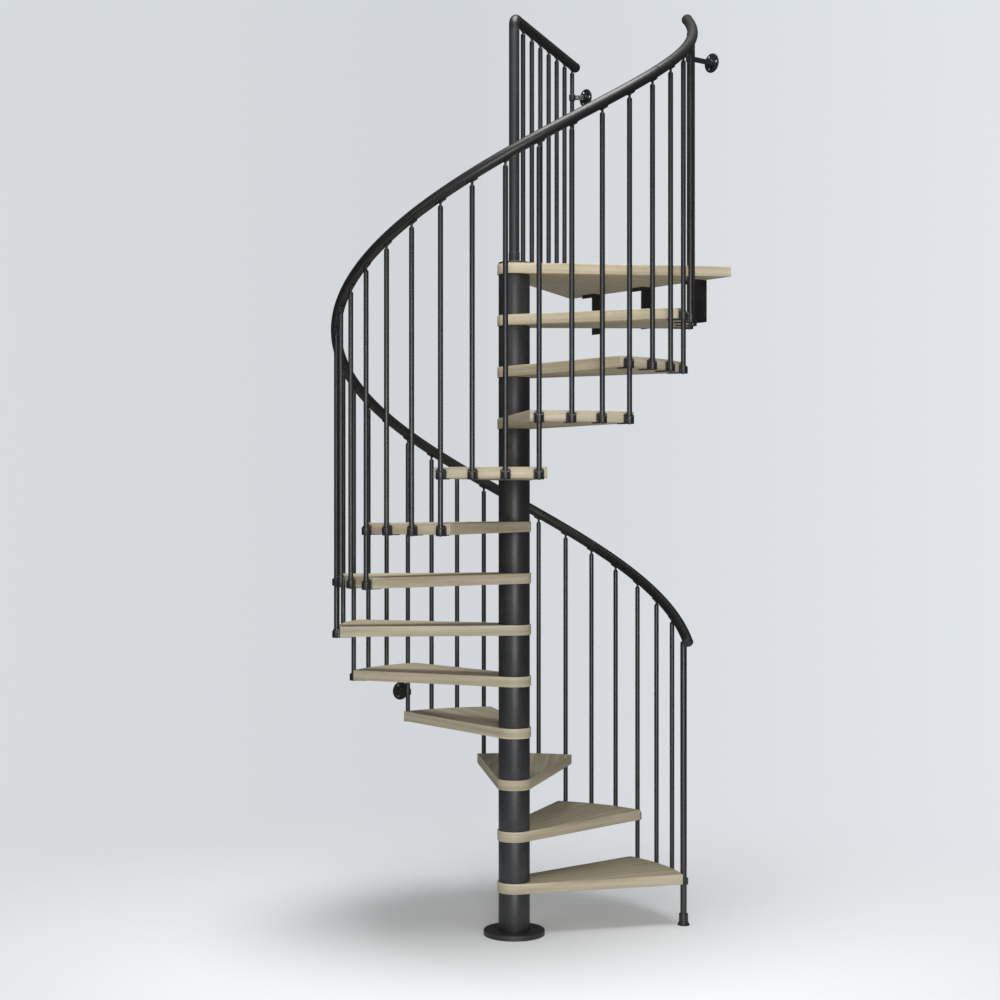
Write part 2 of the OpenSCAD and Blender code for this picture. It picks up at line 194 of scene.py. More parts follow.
floor_mesh = bpy.data.meshes.new("floor")
floor_sheet = bmesh.new()
bmesh.ops.create_circle(floor_sheet, cap_ends=True, segments=96, radius=4.0)
floor_sheet.to_mesh(floor_mesh)
floor_sheet.free()
floor = bpy.data.objects.new("floor", floor_mesh)
scene.collection.objects.link(floor)
floor_paint = bpy.data.materials.new("pale_floor_paint")
floor_paint.use_nodes = True
paint = floor_paint.node_tree
paint.nodes.clear()
place_on_floor = add(paint, "ShaderNodeTexCoord")
from_middle = add(paint, "ShaderNodeVectorMath", {0: place_on_floor.outputs["Object"]},
                  operation="LENGTH")
fade = add(paint, "ShaderNodeMapRange", {"Value": from_middle.outputs["Value"],
           "From Min": 0.9, "From Max": 3.6}, interpolation_type="SMOOTHSTEP")
clear = add(paint, "ShaderNodeBsdfTransparent")
to_eye = add(paint, "ShaderNodeLightPath").outputs["Is Camera Ray"]
glow = add(paint, "ShaderNodeMath", {0: to_eye, 1: FLOOR_GLOW}, operation="MULTIPLY")
matt = add(paint, "ShaderNodeBsdfPrincipled", {"Base Color": linear("#E6E7E8"), "Roughness": 0.8,
           "Emission Color": linear("#E6E7E9"), "Emission Strength": glow.outputs[0]})
faded = add(paint, "ShaderNodeMixShader", {0: fade.outputs["Result"], 1: matt.outputs[0],
            2: clear.outputs[0]})
add(paint, "ShaderNodeOutputMaterial", {"Surface": faded.outputs[0]})
floor_mesh.materials.append(floor_paint)
print("camera lens", camera.data.lens, "lights", [row[0] for row in SOFT_LIGHTS])

# %% [markdown]
# ## Bleached oak
# The treads are oak, bleached pale and finished with a matt lacquer. The eye sees straight
# streaks that run along each board, finer growth lines inside them, and short dark pores.
# Noise stretched along the grain gives all three. It reads the board's own UV map in metres,
# so the grain follows the board and wraps along its edge bands, and a number that each copy
# carries shifts the pattern, so no two treads are cut from the same place.

# %% Bleached oak
def new_material(name, colour, roughness):
    """A material with a Principled surface, and its tree ready for patterns."""
    material = bpy.data.materials.new(name)
    material.use_nodes = True
    material.diffuse_color = linear(colour)
    tree = material.node_tree
    tree.nodes.clear()
    surface = add(tree, "ShaderNodeBsdfPrincipled",
                  {"Base Color": linear(colour), "Roughness": roughness, "IOR": 1.5})
    add(tree, "ShaderNodeOutputMaterial", {"Surface": surface.outputs[0]})
    return material, tree, surface


oak, tree, surface = new_material("oak_bleached_matt_lacquer", "#BDB197", 0.5)
board_uv = add(tree, "ShaderNodeUVMap", uv_map="grain")
copy_number = add(tree, "ShaderNodeAttribute", attribute_name="copy")
board_shift = add(tree, "ShaderNodeCombineXYZ", {"Z": copy_number.outputs["Fac"]})
board = add(tree, "ShaderNodeVectorMath",
            {0: board_uv.outputs[0], 1: board_shift.outputs[0]}, operation="ADD")
# Each layer: how many features in a metre along and across the grain, and how fine they break up
GRAIN = {"streaks": (1.6, 34, 3), "growth": (3.0, 150, 2), "fibres": (14, 620, 2),
         "pores": (70, 900, 0)}
layers = {}
for layer, (along, across, detail) in GRAIN.items():
    stretched = add(tree, "ShaderNodeVectorMath", {0: board.outputs[0], 1: (along, across, 7.3)},
                    operation="MULTIPLY")
    layers[layer] = add(tree, "ShaderNodeTexNoise",
                        {"Vector": stretched.outputs[0], "Scale": 1.0, "Detail": detail})
tones = add(tree, "ShaderNodeValToRGB", {"Fac": layers["streaks"].outputs["Fac"]})
tones.color_ramp.elements[0].position = 0.34
tones.color_ramp.elements[0].color = linear("#ACA085")
tones.color_ramp.elements[1].position = 0.66
tones.color_ramp.elements[1].color = linear("#CBC0A7")
# What a layer does to the tone: two values of its noise, and the shade at each
SHADES = {"growth": (0.35, 0.7, 1.0, 0.86), "fibres": (0.3, 0.7, 1.03, 0.93),
          "pores": (0.66, 0.74, 1.0, 0.78)}
shade = 1.0
for layer, (low, high, shade_low, shade_high) in SHADES.items():
    darker = add(tree, "ShaderNodeMapRange", {"Value": layers[layer].outputs["Fac"],
                 "From Min": low, "From Max": high, "To Min": shade_low, "To Max": shade_high})
    shade = add(tree, "ShaderNodeMath", {0: shade, 1: darker.outputs[0]},
                operation="MULTIPLY").outputs[0]
shaded = add(tree, "ShaderNodeVectorMath", {0: tones.outputs["Color"]}, operation="SCALE")
tree.links.new(shade, shaded.inputs["Scale"])
tree.links.new(shaded.outputs[0], surface.inputs["Base Color"])
gloss = add(tree, "ShaderNodeMapRange", {"Value": layers["growth"].outputs["Fac"],
            "To Min": 0.42, "To Max": 0.58})
tree.links.new(gloss.outputs[0], surface.inputs["Roughness"])
brushed = add(tree, "ShaderNodeBump", {"Height": layers["fibres"].outputs["Fac"],
              "Strength": 0.25, "Distance": 0.0006})
tree.links.new(brushed.outputs[0], surface.inputs["Normal"])
print("oak layers:", ", ".join(GRAIN))

# %% [markdown]
# ## Coated steel and moulded plastic
# The column has a thermoset powder coat with a fine texture, which breaks its broad highlight
# into specks. The balusters have a smoother satin coat. The rings and saddles are nylon with
# the faint sparkle of an eroded mould, and the handrail is a satin PVC sleeve. Each one is the
# same simple idea at its own size: a noise gives tiny lumps, whose crests are painted a lighter
# colour as a painted glint, and a second, broader one varies the gloss a little. The real lumps
# of the powder coat are about 0.5 mm. They are drawn at a few millimetres, because finer ones
# would not show on a four metre stair.

# %% Coated steel and moulded plastic
def lumpy(name, colour, crest_glint, roughness, shine, lump, depth, amount):
    """A coating or moulding: lumps of a size in metres, with a lighter colour painted on their crests
    as a painted glint.
    Its shine is an index of refraction, which sets the strength of its highlight."""
    material, tree, surface = new_material(name, colour, roughness)
    surface.inputs["IOR"].default_value = shine
    place = add(tree, "ShaderNodeTexCoord")
    grit = add(tree, "ShaderNodeTexNoise", {"Vector": place.outputs["Object"],
               "Scale": 1/lump, "Detail": 2.0, "Roughness": 0.6})
    broad = add(tree, "ShaderNodeTexNoise", {"Vector": place.outputs["Object"],
                "Scale": 6.0, "Detail": 3.0})
    # The ramp paints the crests of the lumps in the lighter glint colour: a painted glint.
    tone = add(tree, "ShaderNodeValToRGB", {"Fac": grit.outputs["Fac"]})
    tone.color_ramp.elements[0].position = 0.45
    tone.color_ramp.elements[0].color = linear(colour)
    tone.color_ramp.elements[1].position = 0.72
    tone.color_ramp.elements[1].color = linear(crest_glint)
    tree.links.new(tone.outputs["Color"], surface.inputs["Base Color"])
    gloss = add(tree, "ShaderNodeMapRange", {"Value": broad.outputs["Fac"],
                "From Min": 0.3, "From Max": 0.7,
                "To Min": roughness - 0.04, "To Max": roughness + 0.05})
    tree.links.new(gloss.outputs[0], surface.inputs["Roughness"])
    bump = add(tree, "ShaderNodeBump", {"Height": grit.outputs["Fac"], "Strength": amount,
               "Distance": depth})
    tree.links.new(bump.outputs[0], surface.inputs["Normal"])
    return material


powder_coat = lumpy("steel_textured_powder_coat", "#1B1C1D", "#37383B", 0.44, 1.6, 0.0045, 0.0009, 0.7)
satin_steel = lumpy("steel_satin_black_coat", "#131415", "#1A1B1C", 0.39, 1.7, 0.0030, 0.0001, 0.15)
nylon = lumpy("nylon_moulded_black", "#18191A", "#222325", 0.42, 1.6, 0.0016, 0.0002, 0.4)
rail_pvc = lumpy("pvc_satin_rail_sleeve", "#1B1B1B", "#232322", 0.42, 1.5, 0.0024, 0.0002, 0.3)
zinc, zinc_tree, zinc_surface = new_material("zinc_plated_screw", "#B9BCC0", 0.32)
zinc_surface.inputs["Metallic"].default_value = 1.0
zinc_place = add(zinc_tree, "ShaderNodeTexCoord")
zinc_cloud = add(zinc_tree, "ShaderNodeTexNoise", {"Vector": zinc_place.outputs["Object"],
                 "Scale": 260.0, "Detail": 2.0})
zinc_tone = add(zinc_tree, "ShaderNodeValToRGB", {"Fac": zinc_cloud.outputs["Fac"]})
zinc_tone.color_ramp.elements[0].color = linear("#9FA3A8")
zinc_tone.color_ramp.elements[1].color = linear("#CDD0D3")
zinc_tree.links.new(zinc_tone.outputs["Color"], zinc_surface.inputs["Base Color"])
print("finishes:", [m.name for m in (powder_coat, satin_steel, nylon, rail_pvc, zinc)])

# %% [markdown]
# ## Two ways to make a solid
# Almost every part of this kit was turned on a lathe or cut from a board or a plate, so two
# functions make the shapes. turned() spins a profile about the vertical. slab() takes a closed
# outline with its holes, gives it a thickness, and eases its rims to a small radius, because a
# real edge is never sharp and its thin highlight is what makes it look real.

# %% Two ways to make a solid
def arc(middle, radius, start, end, steps):
    """Points along an arc between two angles in degrees."""
    turns = [math.radians(start + (end - start)*i/steps) for i in range(steps + 1)]
    return [(middle[0] + radius*math.cos(t), middle[1] + radius*math.sin(t)) for t in turns]


def to_mesh(shape):
    mesh = bpy.data.meshes.new("shape")
    shape.to_mesh(mesh)
    shape.free()
    return mesh


def turned(profile, sides=48, closed=False):
    """Spins (radius, height) points about Z. A closed profile makes a ring or a tube."""
    shape = bmesh.new()
    angles = [2*math.pi*i/sides for i in range(sides)]
    rings = []
    for radius, height in profile:
        if radius < 1e-6:
            rings.append([shape.verts.new((0, 0, height))])
        else:
            rings.append([shape.verts.new((radius*math.cos(a), radius*math.sin(a), height))
                          for a in angles])
    pairs = list(zip(rings, rings[1:]))
    if closed:
        pairs.append((rings[-1], rings[0]))
    for below, above in pairs:
        for i in range(sides):
            corners = (below[i % len(below)], below[(i + 1) % len(below)],
                       above[(i + 1) % len(above)], above[i % len(above)])
            shape.faces.new(list(dict.fromkeys(corners))).smooth = True
    return to_mesh(shape)


def rod(radius, low, high, ease, sides=48):
    """A solid rod with both rims eased."""
    return turned([(0, low)] + arc((radius - ease, low + ease), ease, -90, 0, 3)
                  + arc((radius - ease, high - ease), ease, 0, 90, 3) + [(0, high)], sides)


def tube(outer, inner, low, high, ease, sides=48):
    """A tube with its outer rims eased."""
    return turned(arc((outer - ease, low + ease), ease, -90, 0, 3)
                  + arc((outer - ease, high - ease), ease, 0, 90, 3)
                  + [(inner, high), (inner, low)], sides, closed=True)


def slab(loops, low, high, ease=0.0, steps=3):
    """A board between two heights. The first loop runs anticlockwise and holes clockwise.
    Its UV map, grain, is in metres: along X on its faces and along the outline on its rims."""
    shape = bmesh.new()
    grain = shape.loops.layers.uv.new("grain")
    quarter = [math.radians(90*i/steps) for i in range(steps + 1)] if ease else [math.pi/2]
    section = [(ease*(1 - math.sin(a)), low + ease*(1 - math.cos(a))) for a in quarter]
    section += [(inset, low + high - z) for inset, z in reversed(section)]
    up = [0.0]
    for (inset_a, z_a), (inset_b, z_b) in zip(section, section[1:]):
        up.append(up[-1] + math.hypot(inset_b - inset_a, z_b - z_a))
    rims = []
    for loop in loops:
        points = [Vector(p) for p in loop]
        count = len(points)
        outward = []
        along = [0.0]
        for i, point in enumerate(points):
            before = (point - points[i - 1]).normalized()
            after = (points[(i + 1) % count] - point).normalized()
            both = Vector((before.y + after.y, -before.x - after.x))
            outward.append(both/(1 + before.dot(after)))
            along.append(along[-1] + (points[(i + 1) % count] - point).length)
        rings = [[shape.verts.new((*(p - inset*out), z)) for p, out in zip(points, outward)]
                 for inset, z in section]
        for j in range(len(section) - 1):
            for i in range(count):
                k = (i + 1) % count
                face = shape.faces.new((rings[j][i], rings[j][k], rings[j + 1][k], rings[j + 1][i]))
                face.smooth = True
                for corner, spot in zip(face.loops, ((i, j), (i + 1, j), (i + 1, j + 1), (i, j + 1))):
                    corner[grain].uv = (along[spot[0]], up[spot[1]])
        rims.append((rings[0], rings[-1]))
    for side, facing in ((0, -1), (1, 1)):
        edge_loops = [pair[side] for pair in rims]
        corners = [v for ring in edge_loops for v in ring]
        for three in tessellate_polygon([[v.co for v in ring] for ring in edge_loops]):
            face = shape.faces.new([corners[i] for i in three])
            face.normal_update()
            if face.normal.z*facing < 0:
                face.normal_flip()
            for corner in face.loops:
                corner[grain].uv = corner.vert.co.xy
    return to_mesh(shape)


print("a test rod has", len(rod(0.01, 0, 0.1, 0.001).polygons), "faces")

# %% [markdown]
# ## Joining, cutting and handing over
# combined() adds pieces to a solid or cuts them from it with Boolean modifiers, as a machinist
# welds and bores. piece() gathers the finished meshes into one object, gives it its material,
# and hides the frame's parts that it stands for. It also prints the piece's volume: a negative one
# would mean that the surface is inside out.

# %% Joining, cutting and handing over
pieces = []


def plain(holder):
    """The mesh that an object's modifiers make, with the object itself removed."""
    graph = bpy.context.evaluated_depsgraph_get()
    mesh = bpy.data.meshes.new_from_object(
        holder.evaluated_get(graph), preserve_all_data_layers=True, depsgraph=graph)
    holder.modifiers.clear()
    bpy.data.objects.remove(holder)
    return mesh


def welded(mesh):
    """Joins vertices that lie on each other, as where a curve's end caps meet its side."""
    shape = bmesh.new()
    shape.from_mesh(mesh)
    bmesh.ops.remove_doubles(shape, verts=shape.verts, dist=1e-6)
    return to_mesh(shape)


def on_stage(mesh, name="worked"):
    """Puts a mesh in the scene, so that modifiers can work on it."""
    holder = bpy.data.objects.new(name, mesh)
    scene.collection.objects.link(holder)
    return holder


def combined(solid, *steps):
    """Works through ("UNION" or "DIFFERENCE", mesh) steps on a solid."""
    holder = on_stage(solid)
    tools = []
    for operation, mesh in steps:
        tool = on_stage(mesh, "tool")
        tools.append(tool)
        boolean = holder.modifiers.new(operation, "BOOLEAN")
        boolean.operation = operation
        boolean.solver = "EXACT"
        boolean.object = tool
    mesh = plain(holder)
    for tool in tools:
        bpy.data.objects.remove(tool)
    return mesh


def placed(mesh, *moves):
    """A copy of a mesh, moved by matrices. The last matrix is the first to act."""
    made = mesh.copy()
    whole = Matrix.Identity(4)
    for move in moves:
        whole = whole @ move
    made.transform(whole)
    return made


def turn_z(degrees):
    return Matrix.Rotation(math.radians(degrees), 4, "Z")


def turn_x(degrees):
    return Matrix.Rotation(math.radians(degrees), 4, "X")


def turn_y(degrees):
    return Matrix.Rotation(math.radians(degrees), 4, "Y")


def move(x, y, z):
    return Matrix.Translation((x, y, z))


def piece(name, meshes, material, slot, *stands_for):
    """One finished object from its meshes, ready to ride on the frame."""
    if len(meshes) == 1:
        mesh = meshes[0]
    else:
        shape = bmesh.new()
        for part in meshes:
            shape.from_mesh(part)
        mesh = to_mesh(shape)
    mesh.materials.clear()
    mesh.materials.append(material)
    mesh.set_sharp_from_angle(angle=math.radians(38))
    made = bpy.data.objects.new(name, mesh)
    mesh.name = name
    scene.collection.objects.link(made)
    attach(made, "root")
    if stands_for:
        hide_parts(*stands_for)
    check = bmesh.new()
    check.from_mesh(mesh)
    litres = check.calc_volume(signed=True)*1000
    loose = sum(1 for e in check.edges if len(e.link_faces) != 2)
    check.free()
    triangles = sum(len(f.vertices) - 2 for f in mesh.polygons)
    pieces.append(made)
    print(f"{name}: {triangles} triangles, {litres:.3f} litres, {loose} open edges")
    return made


# %% [markdown]
# ## A tree that copies a part round the column
# Treads, tubes, balusters, rings, saddles and screws all repeat by the rule of the stair, so
# one Geometry Nodes tree makes them all. It lays out points, turns and lifts each one by its
# number, and puts a copy of the pattern on each. Every copy keeps its number, which the oak
# reads. A step of the radius instead of the turn gives a straight row, as the landing's guard
# has. The copies are made real at the end, so that an export keeps them.

# %% A tree that copies a part round the column
def new_tree(name, sizes):
    """A Geometry Nodes tree with a named input for each size."""
    tree = bpy.data.node_groups.new(name, "GeometryNodeTree")
    for label, kind in {"Pattern": "Geometry", **sizes, "Material": "Material"}.items():
        tree.interface.new_socket(label, in_out="INPUT", socket_type="NodeSocket" + kind)
    tree.interface.new_socket("Result", in_out="OUTPUT", socket_type="NodeSocketGeometry")
    return tree, add(tree, "NodeGroupInput").outputs


def run_tree(tree, pattern, material, sizes):
    """The plain mesh that a tree makes of a pattern. Inputs are set by their identifiers."""
    holder = on_stage(pattern)
    modifier = holder.modifiers.new("tree", "NODES")
    modifier.node_group = tree
    for item in tree.interface.items_tree:
        if item.name in sizes:
            modifier[item.identifier] = sizes[item.name]
        if item.name == "Material":
            modifier[item.identifier] = material
    return plain(holder)


copier, sizes_in = new_tree("copies_round_the_column", {
    "Copies": "Int", "First Turn": "Float", "Turn Step": "Float", "Radius": "Float",
    "Radius Step": "Float", "First Height": "Float", "Height Step": "Float"})
number = add(copier, "GeometryNodeInputIndex").outputs[0]
stepped = {}
for quantity in ("Turn", "Radius", "Height"):
    first = "Radius" if quantity == "Radius" else "First " + quantity
    stepped[quantity] = add(copier, "ShaderNodeMath", {0: number, 1: sizes_in[quantity + " Step"],
                            2: sizes_in[first]}, operation="MULTIPLY_ADD").outputs[0]
arm = add(copier, "ShaderNodeCombineXYZ", {"X": stepped["Radius"], "Z": stepped["Height"]})
swung = add(copier, "ShaderNodeVectorRotate", {"Vector": arm.outputs[0], "Angle": stepped["Turn"]},
            rotation_type="Z_AXIS")
spots = add(copier, "GeometryNodePoints", {"Count": sizes_in["Copies"],
            "Position": swung.outputs[0]})
facing = add(copier, "ShaderNodeCombineXYZ", {"Z": stepped["Turn"]})
facing = add(copier, "FunctionNodeEulerToRotation", {"Euler": facing.outputs[0]})
copies = add(copier, "GeometryNodeInstanceOnPoints", {"Points": spots.outputs[0],
             "Instance": sizes_in["Pattern"], "Rotation": facing.outputs[0]})
numbered = add(copier, "GeometryNodeStoreNamedAttribute", {"Geometry": copies.outputs[0],
               "Name": "copy", "Value": number}, data_type="FLOAT", domain="INSTANCE")
real = add(copier, "GeometryNodeRealizeInstances", {"Geometry": numbered.outputs[0]})
dressed = add(copier, "GeometryNodeSetMaterial", {"Geometry": real.outputs[0],
              "Material": sizes_in["Material"]})
add(copier, "NodeGroupOutput", {"Result": dressed.outputs[0]})


def copied(pattern, material, count, turn, turn_step, radius, height, height_step, radius_step=0.0):
    return run_tree(copier, pattern, material, {
        "Copies": count, "First Turn": math.radians(turn), "Turn Step": math.radians(turn_step),
        "Radius": radius, "Radius Step": radius_step, "First Height": height,
        "Height Step": height_step})


print("the copier has", len(copier.nodes), "nodes")

# %% [markdown]
# ## Base plate and column tubes
# The column is a stack: a round plate, then a tube, a tread, a tube, and so on, all pulled
# together on the pole inside. The tubes' rims are eased by a millimetre, which leaves the thin
# dark line where each one meets the wood. The pole itself stays as the frame has it.

# %% Base plate and column tubes
BASE_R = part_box("base_plate")[1].x
BASE_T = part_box("base_plate")[1].z
TUBE_R = 0.0685
TUBE_WALL = 0.004
plate_profile = [(0, 0), (BASE_R - 0.0006, 0), (BASE_R, 0.0006), (BASE_R, BASE_T - 0.0045)]
plate_profile += arc((BASE_R - 0.0045, BASE_T - 0.0045), 0.0045, 15, 90, 6) + [(0, BASE_T)]
piece("base_disc", [turned(plate_profile, 128)], powder_coat, "column_steel", "base_plate")

first_tube = tube(TUBE_R, TUBE_R - TUBE_WALL, BASE_T, FIRST_TOP - TREAD_T, 0.0011, 96)
storey_tube = tube(TUBE_R, TUBE_R - TUBE_WALL, 0, RISE - TREAD_T, 0.0011, 96)
storey_tubes = copied(storey_tube, powder_coat, TREADS, 0, STEP_TURN, 0, FIRST_TOP, RISE)
piece("column_tubes", [first_tube, storey_tubes], powder_coat, "column_steel", "column_spacers")

# %% [markdown]
# ## Treads
# A tread is a wedge that narrows into a round collar, cut from one thick oak board. Its sides
# touch the collar as tangents, and its outer end is an arc about the column. One outline makes
# all twelve. The first tread alone has a shallow notch, where the thicker start post passes.

# %% Treads
COLLAR_R = 0.074
POLE_HOLE_R = 0.0193
TREAD_R = 0.764
TREAD_HALF = 17.3
WOOD_EASE = 0.0018
NOTCH_R = 0.0148


def rounded(points, radius, steps=4):
    """An open run of points with each inner corner rounded off."""
    run = [Vector(points[0])]
    for before, corner, after in zip(points, points[1:], points[2:]):
        before, corner, after = Vector(before), Vector(corner), Vector(after)
        come = corner + (before - corner).normalized()*radius
        leave = corner + (after - corner).normalized()*radius
        for i in range(steps + 1):
            t = i/steps
            run.append((1 - t)**2*come + 2*t*(1 - t)*corner + t*t*leave)
    return run + [Vector(points[-1])]


def pole_hole():
    return arc((0, 0), POLE_HOLE_R, 360, 0, 32)[:-1]


def tread_board(notch_turn=None):
    """One tread along +X, with its top at height 0."""
    def edge_r(turn):
        if notch_turn is None or abs(turn - notch_turn) > 1.0:
            return TREAD_R
        off = math.radians(turn - notch_turn)
        reach = NOTCH_R**2 - (RING_R*math.sin(off))**2
        if reach <= 0:
            return TREAD_R
        return min(TREAD_R, RING_R*math.cos(off) - math.sqrt(reach))
    touch = TREAD_HALF + math.degrees(math.acos(COLLAR_R/TREAD_R))
    turns = [-TREAD_HALF + 2*TREAD_HALF*i/180 for i in range(181)]
    rim = [(edge_r(t)*math.cos(math.radians(t)), edge_r(t)*math.sin(math.radians(t)))
           for t in turns]
    collar = arc((0, 0), COLLAR_R, touch, 360 - touch, 48)
    start = rounded([collar[-1], rim[0], rim[2]], 0.003)[1:-1]
    finish = rounded([rim[-3], rim[-1], collar[0]], 0.003)[1:-1]
    outline = start + rim[2:-2] + finish + collar
    return slab([outline, pole_hole()], -TREAD_T, 0, WOOD_EASE)


first_tread = copied(tread_board(-STEP_TURN/2), oak, 1, post_turn(1.5), 0, 0, tread_top(1), 0)
piece("oak_first_tread", [first_tread], oak, "bleached_oak", "tread_01")
more_treads = copied(tread_board(), oak, TREADS - 1, post_turn(4.5), STEP_TURN, 0,
                     tread_top(2), RISE)
piece("oak_treads", [more_treads], oak, "bleached_oak",
      *[f"tread_{k:02d}" for k in range(2, TREADS + 1)])

# %% [markdown]
# ## Landing
# The landing is the same board carried on to the wall: a triangle whose straight outer edge
# lies along it. The last baluster passes down through a hole near its front edge.

# %% Landing
LANDING_HALF = 30.4
LANDING_EDGE = 0.789
BALUSTER_BORE = 0.0108    # radius of a hole that a baluster stands in or passes through
half = math.radians(LANDING_HALF)
side_x = -(COLLAR_R - 0.001)*math.sin(half)
side_y = (COLLAR_R - 0.001)*math.cos(half)
corner_y = (LANDING_EDGE - side_x)*math.tan(half) + side_y
collar = arc((0, 0), COLLAR_R, 90 + LANDING_HALF, 270 - LANDING_HALF, 40)
corners = rounded([collar[-1], (LANDING_EDGE, -corner_y), (LANDING_EDGE, corner_y), collar[0]],
                  0.003)[1:-1]
last_post = math.radians(post_turn(TREADS*PER_TREAD) - LANDING_TURN)
baluster_hole = arc((RING_R*math.cos(last_post), RING_R*math.sin(last_post)), BALUSTER_BORE,
                    360, 0, 24)
landing_board = slab([corners + collar, pole_hole(), baluster_hole[:-1]], -TREAD_T, 0, WOOD_EASE)
piece("oak_landing", [placed(landing_board, turn_z(LANDING_TURN), move(0, 0, TOP_Z))], oak,
      "bleached_oak", "landing")

# %% [markdown]
# ## Balusters and start post
# A baluster is a steel tube whose crown narrows to a small flat, on which the saddle's stem
# stands. Each tread carries a short, a middle and a long one, so three turned patterns and the
# copier make all thirty-six. The start post is thicker and stands in a flared foot.

# %% Balusters and start post
BALUSTER_R = 0.0105
START_R = 0.0145
STEM_R = 0.005
STEM_H = 0.0095
SADDLE_T = 0.004
SEAT = 0.0002
SOCKET_Z = -0.005 + 0.004 + SEAT      # a baluster's foot, from the underside of its tread


def crown_drop(slope):
    """From a rail's centre line down to a baluster's crown."""
    return (RAIL_R + SEAT + SADDLE_T)/math.cos(slope) + STEM_H


def domed(radius, low, high, sides=24):
    dome = math.sqrt(radius**2 - STEM_R**2)
    lean = math.degrees(math.acos(STEM_R/radius))
    return turned([(0, low), (radius, low)]
                  + arc((0, high - dome), radius, 0, lean, 6) + [(0, high)], sides)


for flight, before in FLIGHTS.items():
    made = []
    for nth in range(1, PER_TREAD + 1):
        foot = tread_top(before + 1) - TREAD_T + SOCKET_Z
        turn = post_turn(before*PER_TREAD + nth)
        length = rail_z(turn) - crown_drop(SLOPE) - foot
        made.append(copied(domed(BALUSTER_R, 0, length), satin_steel, FLIGHT_TREADS, turn,
                           STEP_TURN, RING_R, foot, RISE))
    piece("steel_balusters_" + flight, made, satin_steel, "baluster_steel", "balusters_" + flight)

FOOT_H = 0.052
foot_profile = [(0, 0), (0.0270, 0), (0.0275, 0.0006), (0.0275, 0.0044), (0.0268, 0.0052),
                (0.0242, 0.0092), (0.0218, 0.0138), (0.0207, 0.0168), (0.0205, 0.0190),
                (0.0205, FOOT_H - 0.0025)]
foot_profile += arc((0.0180, FOOT_H - 0.0025), 0.0025, 15, 90, 4)
foot_profile += [(0.0148, FOOT_H), (0.0148, 0.005), (0, 0.005)]
at_start = (turn_z(START_TURN), move(RING_R, 0, 0))
piece("start_foot", [placed(turned(foot_profile, 56), *at_start)], nylon, "fitting_plastic",
      "start_post_foot")
start_top = rail_z(START_TURN) - crown_drop(SLOPE)
piece("start_upright", [placed(domed(START_R, 0.0052, start_top, 40), *at_start)], satin_steel,
      "baluster_steel", "start_post")

# %% [markdown]
# ## Rings on the treads
# Four moulded nylon rings grip the outer end of each tread. Each has a wider pad against the
# tread's edge, a thin plate that runs in under the wood, and a top that slopes down from the
# pad to the front. The first ring is open, so that the baluster runs on down to the tread
# below, where the last ring, with a closed end, holds its foot. A small black set screw in the
# side of each ring locks the tube.

# %% Rings on the treads
RING_FRONT_H = 0.027
RING_H = 0.042          # against the tread's edge
DROP = 0.005
PAD_T = 0.008
PAD_OVER = 0.0025
PAD_CORNER = 0.008
RING_OUTER = 0.0185
START_RING_OUTER = 0.0210
SCREW_Z = 0.010           # height of the set screws above the underside of the tread
# Stands a slab up: its thickness runs along X, its width along Y and its height along Z
STAND_UP = Matrix(((0, 0, 1, 0), (1, 0, 0, 0), (0, 1, 0, 0), (0, 0, 0, 1)))


def ring_pattern(outer, bore, through):
    """A ring at radius RING_R on +X, from the underside of a tread, which is height 0."""
    low, high = -DROP, RING_H - DROP
    bottom = arc((outer - 0.001, low + 0.001), 0.001, -90, 0, 2)
    if not through:
        bottom = [(0.0034, low - 0.0022), (0.0042, low - 0.0014), (0.0042, low)] + bottom
    body = turned([(0, bottom[0][1])] + bottom
                  + arc((outer - 0.002, high - 0.002), 0.002, 0, 90, 3) + [(0, high)], 40)
    inner_x = TREAD_R - RING_R
    half = outer + PAD_OVER
    outline = [(-half, low + 0.0003), (half, low + 0.0003)]
    for side, start in ((1, 0), (-1, 90)):
        outline += arc((side*(half - PAD_CORNER), high - PAD_CORNER), PAD_CORNER, start, start + 90, 6)
    pad = placed(slab([outline], inner_x, inner_x + PAD_T, 0.0012), STAND_UP)
    outline = [(-outer + 0.004, -0.014), (-outer + 0.004, 0.014)]
    outline += arc((inner_x - 0.045, 0), 0.014, 90, 270, 12)
    plate = slab([outline], -0.004, 0, 0.0006, 2)
    slant = math.degrees(math.atan2(RING_H - RING_FRONT_H, outer - inner_x - PAD_T))
    wedge = placed(slab([[(-0.08, -0.04), (0.08, -0.04), (0.08, 0.04), (-0.08, 0.04)]], 0, 0.08),
                   move(outer, 0, low + RING_FRONT_H), turn_y(slant))
    bite_rim = [(x - RING_R, y) for x, y in arc((0, 0), TREAD_R + SEAT, -3, 3, 24)]
    bite = slab([bite_rim + [(-0.06, 0.04), (-0.06, -0.04)]], 0, TREAD_T)
    hole = rod(bore, low - 0.01 if through else low + 0.004, high + 0.01, 0.0004, 40)
    return combined(body, ("UNION", plate), ("UNION", pad), ("DIFFERENCE", wedge),
                    ("DIFFERENCE", bite), ("DIFFERENCE", hole))


def screw_head(radius, height):
    """A pan head with a hexagon recess, looking up +Z from height 0."""
    hexagon = 0.42*radius
    return turned([(0, -0.0004), (radius, -0.0004), (radius, 0.5*height), (0.8*radius, height),
                   (hexagon, height), (hexagon, 0.4*height), (0, 0.4*height)], 12)


closed_ring = ring_pattern(RING_OUTER, BALUSTER_BORE, False)
open_ring = ring_pattern(RING_OUTER, BALUSTER_BORE, True)
start_ring = ring_pattern(START_RING_OUTER, NOTCH_R, True)
ring_screw = placed(screw_head(0.0030, 0.0011), move(0, -RING_OUTER, SCREW_Z), turn_x(90))
start_screw = placed(screw_head(0.0034, 0.0012), move(0, -START_RING_OUTER, SCREW_Z), turn_x(90))

